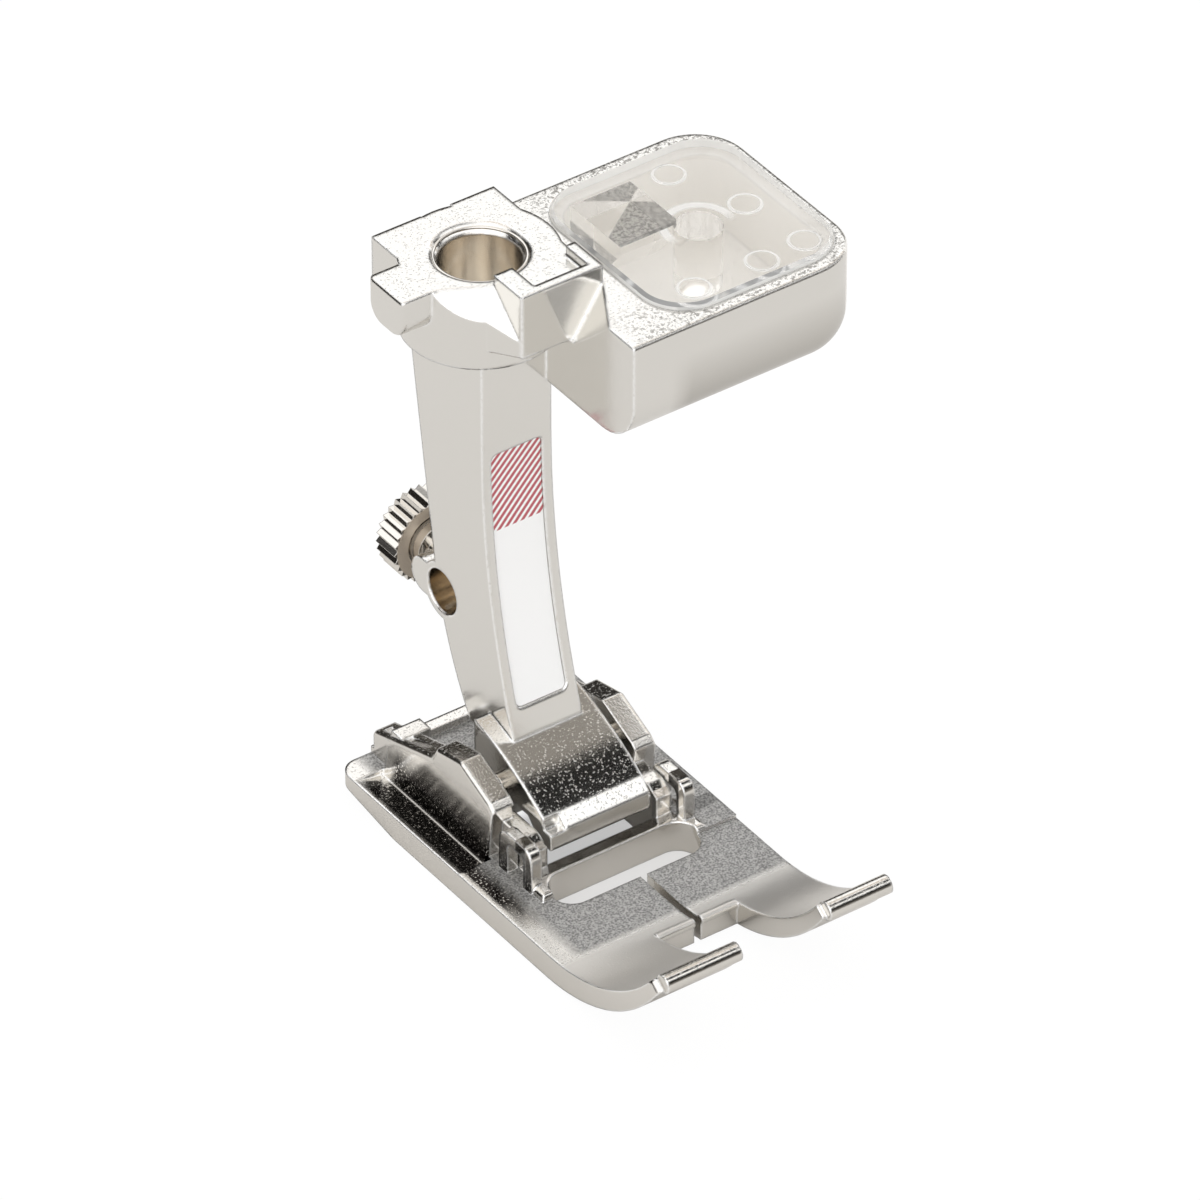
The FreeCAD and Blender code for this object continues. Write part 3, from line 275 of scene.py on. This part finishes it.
bpy.ops.object.select_all(action="DESELECT")
bpy.ops.mesh.primitive_plane_add(size=FLOOR_SIDE, location=(0, 0, cad_low.z))
floor = bpy.context.object
floor.name = "floor"
pale_floor, tree, output = new_material("pale_floor")
_, x, y, _ = on_piece(tree)
near, far = [edge * MM for edge in OPENINGS_EDGE]
whitened = ramped(tree, reach(tree, x, y, OPENINGS_MIDDLE), near, far,
                  WHITE_IN_OPENINGS, WHITE_OUTSIDE)
share = product(tree, add(tree, "ShaderNodeLightPath").outputs["Is Camera Ray"], whitened)
diffuse = add(tree, "ShaderNodeBsdfDiffuse", {"Color": linear(FLOOR_PALE)})
white = add(tree, "ShaderNodeEmission", {
    "Color": linear(PLAIN_WHITE), "Strength": FLOOR_WHITE_STRENGTH,
})
feed(tree, output, {"Surface": mix_shaders(tree, share, diffuse.outputs[0], white.outputs[0])})
floor.data.materials.append(pale_floor)

# %% [markdown]
# The castings are zinc with satin nickel plating. Nickel is a slightly warm grey mirror. Level
# faces keep the coarse skin of the mould, so they sparkle, while walls are smoother. A cast edge is
# never sharp: the bevel node turns the normal over about a third of a millimetre there, so that
# each edge mirrors the whole room as a thin dark and bright line.

# %% Plated metal
GRAIN_SIZE, GRAIN_DEPTH = 0.13 * MM, 0.035 * MM
PIT_SPACING, PIT_DEPTH = 0.15 * MM, 0.05 * MM
PIT_RIM = (0.63, 0.71)
BEVEL_SAMPLES = 8
WALL_TO_LEVEL = (0.5, 0.9)
HEAD_Z, HOUSING_X = (28, 30), (4.5, 6)
HOUSING_GRAIN = 2.6
PITS_ON_FOOT, PITS_ON_HEAD, PITS_ADDED_ON_HOUSING = 0.65, 0.5, 1.3
PITS_ON_WALLS = 0.12
WORN_TURN, WORN_PATCHES = (0.99, 0.92), (0.3, 0.5)


def plated(name, colour, roughness, level_grain, wall_grain, edge, pits=0.0):
    """Nickel plating: a material, its graph, its metal and pits, and a mask of worn edges."""
    material, tree, output = new_material(name)
    place, x, _, z = on_piece(tree)
    up = looking_up(tree, "Normal")
    bevel = add(tree, "ShaderNodeBevel", {"Radius": edge}, samples=BEVEL_SAMPLES)
    rounded = bevel.outputs["Normal"]
    head = fade(tree, z, *HEAD_Z)
    housing = product(tree, head, fade(tree, x, *HOUSING_X))
    skin = add(tree, "ShaderNodeBump", {
        "Strength": product(tree, ramped(tree, up, *WALL_TO_LEVEL, wall_grain, level_grain),
                            ramped(tree, housing, 0.0, 1.0, 1.0, HOUSING_GRAIN)),
        "Distance": GRAIN_DEPTH,
        "Height": grain(tree, place, GRAIN_SIZE),
        "Normal": rounded,
    })
    # pits of the mould: sparse spots whose steep rims mirror another part of the room, fewest over
    # the head plate and most round the lens
    spotted = maths(tree, "ADD", ramped(tree, head, 0.0, 1.0, PITS_ON_FOOT, PITS_ON_HEAD),
                    product(tree, housing, PITS_ADDED_ON_HOUSING))
    pit_noise = grain(tree, place, PIT_SPACING)
    spots = add(tree, "ShaderNodeBump", {
        "Strength": product(
            tree, ramped(tree, up, *WALL_TO_LEVEL, PITS_ON_WALLS * pits, pits), spotted),
        "Distance": PIT_DEPTH,
        "Height": ramped(tree, pit_noise, *PIT_RIM),
        "Normal": skin.outputs["Normal"],
    })
    metal = add(tree, "ShaderNodeBsdfPrincipled", {
        "Base Color": linear(colour), "Metallic": 1.0, "Roughness": roughness,
        "Normal": spots.outputs["Normal"],
    })
    feed(tree, output, {"Surface": metal.outputs["BSDF"]})
    # worn is one in patches where the surface turns round an edge, and nought on the faces
    turned = add(tree, "ShaderNodeVectorMath", {
        0: rounded, 1: add(tree, "ShaderNodeNewGeometry").outputs["True Normal"],
    }, operation="DOT_PRODUCT").outputs["Value"]
    worn = product(tree, ramped(tree, turned, *WORN_TURN), ramped(tree, pit_noise, *WORN_PATCHES))
    return material, tree, metal, spots, worn


# %% [markdown]
# The plating bath reaches some places less well than others. The pocket under the lens stays pale
# and dull, the bore is warm in tone, and the hole for the guide rod is raw inside. The wall of the
# housing gets painted shade, darker towards its lower edge. The level rim round the lens is mottled
# with grey, and all edges are polished bright by handling.

# %% Casting finish
CAST_NICKEL, CAST_ROUGHNESS = "E9E7E3", 0.14
POLISHED = "FFFFFF"
POCKET_X, POCKET_Y, POCKET_Z = (5.5, 19.1), (-11.85, 2.8), (32.1, 38.5)
POCKET_ROUGHNESS = 0.5
BORE_RADIUS, BORE_FLOOR = 2.6, 34.2
BORE_DULLER = 0.08
ROD_HOLE_RADIUS, ROD_HOLE_AXIS = 1.6, (0.6, 14.3)
WALL_SHADE_Z, WALL_SHADE_SHARE = (36.5, 31.2), 0.8
WALL_LEFT_X, WALL_FOOT_Z = (5, 6.5), (30.0, 30.5)
LENS_RIM_LEVEL, LENS_RIM_Z, LENS_RIM_X = (0.9, 0.97), (38.4, 38.5), (5.0, 6.5)
LENS_RIM_CORNER_Y, LENS_RIM_CORNER_X, LENS_RIM_CORNER_SHARE = (-9.0, -10.0), (2.5, 3.5), 0.8
MOTTLE_SIZE, MOTTLE_EDGE, MOTTLE_SHARE = 0.24 * MM, (0.5, 0.62), 0.75

cast_nickel, tree, metal, _, worn = plated(
    "satin_nickel_on_casting", CAST_NICKEL, CAST_ROUGHNESS, level_grain=0.13, wall_grain=0.03,
    edge=0.34 * MM, pits=0.42)
place, x, y, z = on_piece(tree)
pocket = product(tree, *[
    mask for length, (low, high) in ((x, POCKET_X), (y, POCKET_Y), (z, POCKET_Z))
    for mask in (past(tree, length, low), within(tree, length, high))
])
bore = product(tree, within(tree, reach(tree, x, y), BORE_RADIUS), past(tree, z, BORE_FLOOR))
# painted shade: the housing wall is painted darker towards its lower edge
housing_wall_painted_shade = product(tree, fade(tree, z, *WALL_SHADE_Z, WALL_SHADE_SHARE),
                   fade(tree, x, *WALL_LEFT_X), fade(tree, z, *WALL_FOOT_Z))
corner = product(tree, fade(tree, y, *LENS_RIM_CORNER_Y, LENS_RIM_CORNER_SHARE),
                 fade(tree, x, *LENS_RIM_CORNER_X))
mottles = ramped(tree, grain(tree, place, MOTTLE_SIZE, 2.0), *MOTTLE_EDGE, 0.0, MOTTLE_SHARE)
mottled = product(tree, ramped(tree, looking_up(tree), *LENS_RIM_LEVEL),
                  maths(tree, "MAXIMUM", corner, fade(tree, x, *LENS_RIM_X)),
                  fade(tree, z, *LENS_RIM_Z), mottles)
rod_hole = within(tree, reach(tree, y, z, ROD_HOLE_AXIS), ROD_HOLE_RADIUS)
tint = linear(CAST_NICKEL)
for mask, colour in (
    (bore, "F1EADF"), (housing_wall_painted_shade, "9B968F"), (mottled, "77746F"), (rod_hole, "DCD0BE"),
    (worn, POLISHED), (pocket, "F1EEE9"),
):
    tint = blend(tree, mask, tint, linear(colour))
feed(tree, metal, {
    "Base Color": tint,
    "Metallic": ramped(tree, pocket, 0.0, 1.0, 1.0, 0.0),
    "Roughness": maths(tree, "ADD",
                       ramped(tree, pocket, 0.0, 1.0, CAST_ROUGHNESS, POCKET_ROUGHNESS),
                       product(tree, bore, BORE_DULLER)),
})

# %% [markdown]
# The small turned pieces are brighter and smoother. Only the face that the clamp screw's head turns
# to the stem is brushed, so it is duller and warmer.

# %% Turned steel finish
TURNED_NICKEL, TURNED_ROUGHNESS = "E4E0DA", 0.12
BRUSHED_RADIUS, SCREW_AXIS = 2.72, (0.0, 14.3)
BRUSHED_BACK_Y, BRUSHED_FRONT_Y = (5.25, 5.2), (4.9, 5.1)
BRUSHED_ROUGHNESS, BRUSHED_METALLIC = 0.4, 0.5

turned_nickel, tree, metal, _, _ = plated(
    "bright_nickel_on_turned_steel", TURNED_NICKEL, TURNED_ROUGHNESS, level_grain=0.05,
    wall_grain=0.03, edge=0.06 * MM)
_, x, y, z = on_piece(tree)
brushed = product(tree, fade(tree, y, *BRUSHED_BACK_Y),
                  within(tree, reach(tree, x, z, SCREW_AXIS), BRUSHED_RADIUS),
                  fade(tree, y, *BRUSHED_FRONT_Y))
feed(tree, metal, {
    "Base Color": blend(tree, brushed, linear(TURNED_NICKEL), linear("CBBFB0")),
    "Roughness": ramped(tree, brushed, 0.0, 1.0, TURNED_ROUGHNESS, BRUSHED_ROUGHNESS),
    "Metallic": ramped(tree, brushed, 0.0, 1.0, 1.0, BRUSHED_METALLIC),
})

# %% [markdown]
# The sole has three finishes in one casting. Its flat top is blasted to a dull sparkling grey up to
# the line where the toes begin to rise, and the toes are satin on top. The flange beside the foot
# gets painted shade: it is painted dark as a reflection, with painted bright glints and a painted
# highlight along a crease. All the rest is plated as cast. The rounded rim behind the needle slot
# is crowned, so its top leans back and mirrors the dark room.

# %% Sole finish
SOLE_NICKEL, SOLE_ROUGHNESS = "E6E3DE", 0.16
TOES_FROM_Y, TOES_TO_Y, TOES_LEVEL = (-20.2, -20.7), (-29.4, -29.2), (0.3, 0.6)
BLAST_LEVEL, BLAST_LEFT_X = (0.985, 0.995), (-7.6, -6.6)
BLAST_FRONT_Y, BLAST_TOP_Z = (-20.45, -19.95), (2.12, 2.08)
SPARKLE_SIZE, SPARKLE_EDGE = 0.11 * MM, (0.3, 0.7)
BLAST_DULLER, BLAST_PALER = 0.34, 0.45
TOES_DULLER, TOES_PALER = 0.16, 0.22
FLANGE_RIGHT_X, FLANGE_LEFT_X = (-6.05, -6.1), (-8.35, -8.15)
FLANGE_FRONT_Y, FLANGE_BACK_Y = (-16.5, -13.5), (0.9, 0.3)
FLANGE_HIGH_Z, FLANGE_LOW_Z = (4.6, 2.4), (1.1, 1.3)
POINT_SIZE, POINT_EDGE = 0.14 * MM, (0.58, 0.68)
CREASE_X, CREASE_EDGE, CREASE_SHARE = 6.5 * MM, (0.09, 0.05), 0.7
SLOT_RIM_FRONT_Y, SLOT_RIM_BACK_Y = (-13.3, -13.1), (-12.1, -12.15)
SLOT_RIM_TOP_Z, SLOT_RIM_LEAN = (2.0, 2.05), 0.35

sole_nickel, tree, metal, spots, worn = plated(
    "blasted_nickel_on_sole", SOLE_NICKEL, SOLE_ROUGHNESS, level_grain=0.16, wall_grain=0.05,
    edge=0.26 * MM, pits=0.42)
place, x, y, z = on_piece(tree)
up = looking_up(tree)
blasted = product(tree, ramped(tree, up, *BLAST_LEVEL), fade(tree, z, *BLAST_TOP_Z),
                  fade(tree, y, *BLAST_FRONT_Y), fade(tree, x, *BLAST_LEFT_X))
sparkle = ramped(tree, grain(tree, place, SPARKLE_SIZE, 0.0), *SPARKLE_EDGE)
toes = product(tree, fade(tree, y, *TOES_FROM_Y), ramped(tree, up, *TOES_LEVEL),
               fade(tree, y, *TOES_TO_Y))
# painted shade on the flange beside the foot: a dark painted reflection with painted bright glints,
# and a painted highlight along the crease
flange_painted_shade = product(tree, fade(tree, x, *FLANGE_RIGHT_X), fade(tree, x, *FLANGE_LEFT_X),
                 fade(tree, y, *FLANGE_FRONT_Y), fade(tree, y, *FLANGE_BACK_Y),
                 fade(tree, z, *FLANGE_HIGH_Z), fade(tree, z, *FLANGE_LOW_Z))
crease_painted_highlight = fade(tree, maths(tree, "ABSOLUTE", maths(tree, "ADD", x, CREASE_X)), *CREASE_EDGE)
painted_glints = maths(tree, "MAXIMUM", ramped(tree, grain(tree, place, POINT_SIZE), *POINT_EDGE),
               product(tree, crease_painted_highlight, CREASE_SHARE))
tint = linear(SOLE_NICKEL)
for mask, colour in (
    (worn, linear(POLISHED)),
    (flange_painted_shade, blend(tree, painted_glints, linear("2B2825"), linear("E2DED8"))),
    (blasted, blend(tree, sparkle, linear("858483"), linear("C2C1BF"))),
):
    tint = blend(tree, mask, tint, colour)
duller = maths(tree, "MAXIMUM", product(tree, blasted, BLAST_DULLER),
               product(tree, toes, TOES_DULLER))
paler = maths(tree, "MAXIMUM", product(tree, blasted, BLAST_PALER),
              product(tree, toes, TOES_PALER))
feed(tree, metal, {
    "Base Color": tint,
    "Roughness": maths(tree, "ADD", duller, SOLE_ROUGHNESS),
    "Metallic": maths(tree, "SUBTRACT", 1.0, paler),
})

# the rim's lean is added to the normal under the pits
rim = product(tree, fade(tree, y, *SLOT_RIM_FRONT_Y), fade(tree, y, *SLOT_RIM_BACK_Y),
              fade(tree, z, *SLOT_RIM_TOP_Z))
lean = add(tree, "ShaderNodeCombineXYZ", {"Y": product(tree, rim, SLOT_RIM_LEAN)})
leaning = add(tree, "ShaderNodeVectorMath", {
    0: spots.inputs["Normal"].links[0].from_socket, 1: lean.outputs[0],
}, operation="ADD")
upright = add(tree, "ShaderNodeVectorMath", {0: leaning.outputs[0]}, operation="NORMALIZE")
feed(tree, spots, {"Normal": upright.outputs[0]})

# %% [markdown]
# The lens is clear moulded acrylic. Its polished faces are clear. Its side walls, which the mould
# left unpolished, are milky, so the lens has a white border. The lower face of the prism is
# textured and dark on one side of a slanted line, a milky arc runs round the stub, and the ejector
# pins left five pale rings. Soft light passes straight through the lens, so that the pocket under
# it stays bright.

# %% Clear lens
LENS_TOP_Z, LENS_STEEP = (37.3, 37.4), (0.8, 0.6)
LENS_LEVEL, LENS_UNDERSIDE_Z = (0.9, 0.95), (37.8, 37.6)
MILKY_SHARE, RING_SHARE, FACET_SHARE = 0.75, 0.6, 0.85
EJECTOR_MARKS = [(16.5, -4.2), (17.2, -9.3), (13.9, -9.5), (14.5, 0.9), (9.0, -9.4)]
MARK_RADIUS, MARK_HALF_WIDTH = 1.0, 0.1
STUB_AXIS, STUB_ARC_RADIUS, STUB_ARC_HALF_WIDTH = (12.9, -4.4), 2.15, 0.28
STUB_ARC_Y = (-5.2, -4.2)
FACET_TOP_Z, FACET_BOTTOM_Z, FACET_X = (34.3, 34.25), (33.8, 33.9), (8.7, 8.8)
FACET_SLOPE, FACET_LINE = 0.71, (6.9, 7.05)
FACET_SPECK, FACET_SPECK_EDGE = 0.2 * MM, (0.4, 0.6)
POLISHED_ROUGHNESS, MILKY_ROUGHNESS, ACRYLIC_IOR = 0.05, 0.5, 1.49

clear_acrylic, tree, output = new_material("clear_acrylic")
place, x, y, z = on_piece(tree)
# inside the clear body the normal is turned round, so only its size counts
level = maths(tree, "ABSOLUTE", looking_up(tree))


def ring(centre, radius, half_width):
    """One on a ring seen from above, and nought beside it."""
    off = maths(tree, "SUBTRACT", reach(tree, x, y, centre), radius * MM)
    return fade(tree, maths(tree, "ABSOLUTE", off), half_width * 1.3, half_width * 0.7)


milky_walls = product(tree, ramped(tree, level, *LENS_STEEP), fade(tree, z, *LENS_TOP_Z),
                      MILKY_SHARE)
rings = product(tree, ring(STUB_AXIS, STUB_ARC_RADIUS, STUB_ARC_HALF_WIDTH),
                fade(tree, y, *STUB_ARC_Y))
for mark in EJECTOR_MARKS:
    rings = maths(tree, "MAXIMUM", rings, ring(mark, MARK_RADIUS, MARK_HALF_WIDTH))
level_faces = ramped(tree, level, *LENS_LEVEL)
underside = product(tree, level_faces, fade(tree, z, *LENS_UNDERSIDE_Z))
rings = product(tree, rings, underside, RING_SHARE)
across = maths(tree, "SUBTRACT", product(tree, x, FACET_SLOPE), y)
facet = product(tree, level_faces, fade(tree, z, *FACET_TOP_Z), fade(tree, z, *FACET_BOTTOM_Z),
                fade(tree, x, *FACET_X), fade(tree, across, *FACET_LINE))
speck = ramped(tree, grain(tree, place, FACET_SPECK, 2.0), *FACET_SPECK_EDGE)

glass = add(tree, "ShaderNodeBsdfPrincipled", {
    "Base Color": linear("FBFAF8"), "Roughness": POLISHED_ROUGHNESS, "IOR": ACRYLIC_IOR,
    "Transmission Weight": 1.0,
})
milky = add(tree, "ShaderNodeBsdfPrincipled", {
    "Base Color": linear("F4F4F3"), "Roughness": MILKY_ROUGHNESS,
})
textured = add(tree, "ShaderNodeBsdfPrincipled", {
    "Base Color": blend(tree, speck, linear("6F6C67"), linear("B5B2AC")),
    "Roughness": MILKY_ROUGHNESS,
})
open_way = add(tree, "ShaderNodeBsdfTransparent", {"Color": linear("FDFDFD")})
paths = add(tree, "ShaderNodeLightPath").outputs
soft_light = maths(tree, "MAXIMUM", paths["Is Shadow Ray"], paths["Is Diffuse Ray"])
body = mix_shaders(tree, maths(tree, "MAXIMUM", milky_walls, rings),
                   glass.outputs[0], milky.outputs[0])
body = mix_shaders(tree, product(tree, facet, FACET_SHARE), body, textured.outputs[0])
feed(tree, output, {"Surface": mix_shaders(tree, soft_light, body, open_way.outputs[0])})

# %% [markdown]
# The label is a white film with a field of slanted red stripes at its top. The stripes are a wave
# along a slanted direction across the film's own X and Z, and they end at a straight line.

# %% Label film
STRIPE_PITCH, STRIPE_SLANT = 0.41 * MM, math.radians(45)
STRIPE_EDGE, STRIPES_FROM_Z = (-0.25, 0.05), (21.28, 21.32)
FILM_WHITE, INK_RED, FILM_ROUGHNESS = "FEFEFE", "BC5A62", 0.4

label_film, tree, output = new_material("printed_label_film")
_, x, _, z = on_piece(tree)
across = maths(tree, "SUBTRACT", product(tree, z, math.cos(STRIPE_SLANT)),
               product(tree, x, math.sin(STRIPE_SLANT)))
wave = maths(tree, "SINE", product(tree, across, 2 * math.pi / STRIPE_PITCH))
ink = product(tree, ramped(tree, wave, *STRIPE_EDGE), fade(tree, z, *STRIPES_FROM_Z))
film = add(tree, "ShaderNodeBsdfPrincipled", {
    "Base Color": blend(tree, ink, linear(FILM_WHITE), linear(INK_RED)),
    "Roughness": FILM_ROUGHNESS,
})
feed(tree, output, {"Surface": film.outputs["BSDF"]})

# %% [markdown]
# Each piece of the frame gets one finish in place of its plain material.

# %% Give the pieces their finish
FINISHES = {
    "shank": cast_nickel,
    "sole": sole_nickel,
    "clamp_screw": turned_nickel,
    "hinge_pin": turned_nickel,
    "hinge_spring": turned_nickel,
    "sensor_lens": clear_acrylic,
    "label": label_film,
}
for node, material in FINISHES.items():
    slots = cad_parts[node].data.materials
    slots.clear()
    slots.append(material)

# %% [markdown]
# The mouth of the bore is stepped: a thin bead runs round its chamfer.

# %% Bead in the mouth of the bore
BEAD_RADIUS, BEAD_THICKNESS, BEAD_HEIGHT = 2.83 * MM, 0.11 * MM, 38.84 * MM

bpy.ops.object.select_all(action="DESELECT")
bpy.ops.mesh.primitive_torus_add(
    major_radius=BEAD_RADIUS, minor_radius=BEAD_THICKNESS, major_segments=96, minor_segments=16,
    location=(0, 0, BEAD_HEIGHT),
)
bore_bead = bpy.context.object
bore_bead.name = "bore_mouth_bead"
bpy.ops.object.transform_apply(location=True, rotation=False, scale=False)
bpy.ops.object.shade_smooth()
bore_bead.data.materials.append(turned_nickel)
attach(bore_bead, "shank")

# %% [markdown]
# The view transform is set to Standard and the scene is brought up to date.

# %% Finish
bpy.context.scene.view_settings.view_transform = "Standard"
bpy.context.view_layer.update()
